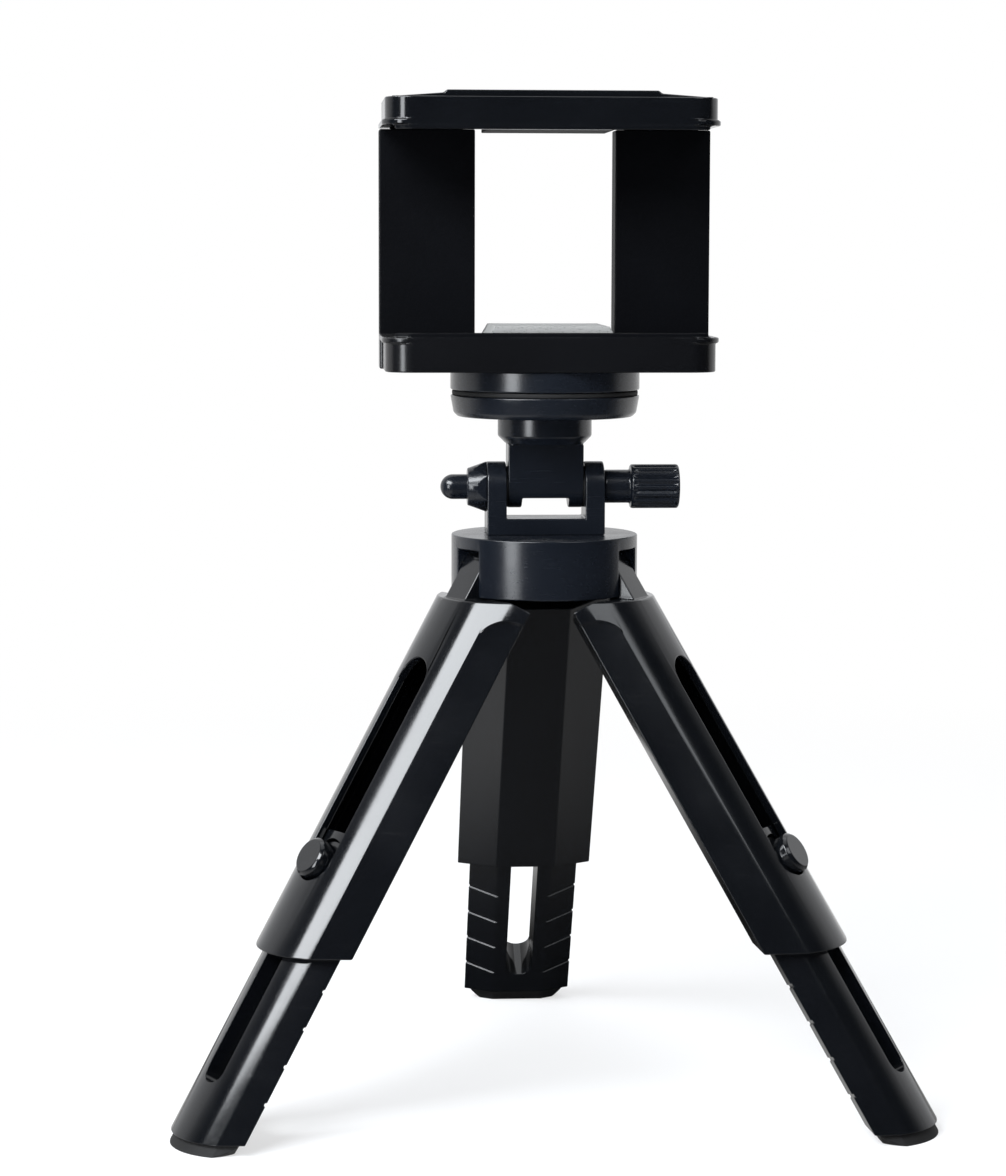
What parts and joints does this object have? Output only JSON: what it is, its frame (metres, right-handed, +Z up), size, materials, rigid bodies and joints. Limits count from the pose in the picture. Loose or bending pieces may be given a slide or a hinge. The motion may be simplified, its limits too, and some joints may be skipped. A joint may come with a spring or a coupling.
{
  "type": "table-top phone tripod",
  "caption": "Small folding table-top tripod with telescoping legs, a pan and tilt head with a thumb screw, and a spring-loaded phone clamp.",
  "frame": {"origin": "on the floor under the middle of the bounding box", "axes": "+Z up, +X to the right of the clamp as seen from its front, so the clamp opens towards -Y"},
  "size_m": [0.1856, 0.1648, 0.2499],
  "materials": {
    "satin_plastic": "satin black",
    "gloss_plastic": "semi-gloss black",
    "matte_plastic": "matte black",
    "black_rubber": "matte",
    "grey_foam_rubber": "matte grey",
    "steel": "bright zinc",
    "brass": "plain"
  },
  "bodies": {
    "hub": {"hub_body": "satin_plastic", "hub_base_plate": "satin_plastic", "base_plate_screws": "steel", "fork_screw_bolt": "steel", "tilt_fork": "satin_plastic", "tilt_cap_nut": "satin_plastic", "leg_pin_back": "steel", "leg_pin_left": "steel", "leg_pin_right": "steel"},
    "thumb_screw": {"tilt_bolt": "steel", "thumb_knob": "satin_plastic"},
    "tilt_head": {"tilt_knuckle": "satin_plastic", "tilt_washers": "black_rubber", "pan_stud": "steel", "turntable_base": "satin_plastic", "friction_ring": "black_rubber"},
    "clamp": {"turntable_top": "satin_plastic", "turntable_screws": "steel", "insert_nut": "brass", "clamp_frame": "matte_plastic", "lower_jaw_pad": "grey_foam_rubber", "column_cover_left": "matte_plastic", "column_cover_right": "matte_plastic", "cover_screws": "steel", "clamp_spring_left": "steel", "clamp_spring_right": "steel", "lower_spring_pins": "steel"},
    "sliding_jaw": {"upper_jaw": "gloss_plastic", "upper_jaw_pad": "black_rubber", "upper_spring_pins": "steel"},
    "leg_back": {"leg_outer_back": "gloss_plastic"},
    "leg_slide_back": {"leg_inner_back": "gloss_plastic", "foot_pad_back": "black_rubber", "button_spring_back": "steel"},
    "button_back": {"leg_button_back": "gloss_plastic"},
    "leg_left": {"leg_outer_left": "gloss_plastic"},
    "leg_slide_left": {"leg_inner_left": "gloss_plastic", "foot_pad_left": "black_rubber", "button_spring_left": "steel"},
    "button_left": {"leg_button_left": "gloss_plastic"},
    "leg_right": {"leg_outer_right": "gloss_plastic"},
    "leg_slide_right": {"leg_inner_right": "gloss_plastic", "foot_pad_right": "black_rubber", "button_spring_right": "steel"},
    "button_right": {"leg_button_right": "gloss_plastic"}
  },
  "joints": [
    {"name": "thumb_screw_turn", "type": "hinge", "parent": "hub", "child": "thumb_screw", "pos_m": [0, -0.02228, 0.15304], "axis": [1, 0, 0], "continuous": true},
    {"name": "head_tilt", "type": "hinge", "parent": "hub", "child": "tilt_head", "pos_m": [0, -0.02228, 0.15304], "axis": [1, 0, 0], "range_deg": [-60, 60]},
    {"name": "clamp_pan", "type": "hinge", "parent": "tilt_head", "child": "clamp", "pos_m": [0, -0.02228, 0.18229], "axis": [0, 0, 1], "continuous": true},
    {"name": "jaw_open", "type": "slide", "parent": "clamp", "child": "sliding_jaw", "axis": [0, 0, 1], "range_m": [0, 0.027], "stiffness_N_per_m": 250, "springref_m": -0.016, "deforming": ["clamp_spring_left", "clamp_spring_right"]},
    {"name": "leg_fold_back", "type": "hinge", "parent": "hub", "child": "leg_back", "pos_m": [0, -0.00438, 0.13494], "axis": [-1, 0, 0], "range_deg": [0, 32.5]},
    {"name": "leg_retract_back", "type": "slide", "parent": "leg_back", "child": "leg_slide_back", "axis": [0, -0.5373, 0.8434], "range_m": [0, 0.05]},
    {"name": "button_press_back", "type": "slide", "parent": "leg_slide_back", "child": "button_back", "axis": [0, -0.8434, -0.5373], "range_m": [0, 0.00145], "stiffness_N_per_m": 500, "springref_m": -0.002, "deforming": ["button_spring_back"]},
    {"name": "leg_fold_left", "type": "hinge", "parent": "hub", "child": "leg_left", "pos_m": [-0.0155, -0.03123, 0.13494], "axis": [0.5, -0.866, 0], "range_deg": [0, 32.5]},
    {"name": "leg_retract_left", "type": "slide", "parent": "leg_left", "child": "leg_slide_left", "axis": [0.4653, 0.2687, 0.8434], "range_m": [0, 0.05]},
    {"name": "button_press_left", "type": "slide", "parent": "leg_slide_left", "child": "button_left", "axis": [0.7304, 0.4217, -0.5373], "range_m": [0, 0.00145], "stiffness_N_per_m": 500, "springref_m": -0.002, "deforming": ["button_spring_left"]},
    {"name": "leg_fold_right", "type": "hinge", "parent": "hub", "child": "leg_right", "pos_m": [0.0155, -0.03123, 0.13494], "axis": [0.5, 0.866, 0], "range_deg": [0, 32.5]},
    {"name": "leg_retract_right", "type": "slide", "parent": "leg_right", "child": "leg_slide_right", "axis": [-0.4653, 0.2687, 0.8434], "range_m": [0, 0.05]},
    {"name": "button_press_right", "type": "slide", "parent": "leg_slide_right", "child": "button_right", "axis": [-0.7304, 0.4217, -0.5373], "range_m": [0, 0.00145], "stiffness_N_per_m": 500, "springref_m": -0.002, "deforming": ["button_spring_right"]}
  ]
}
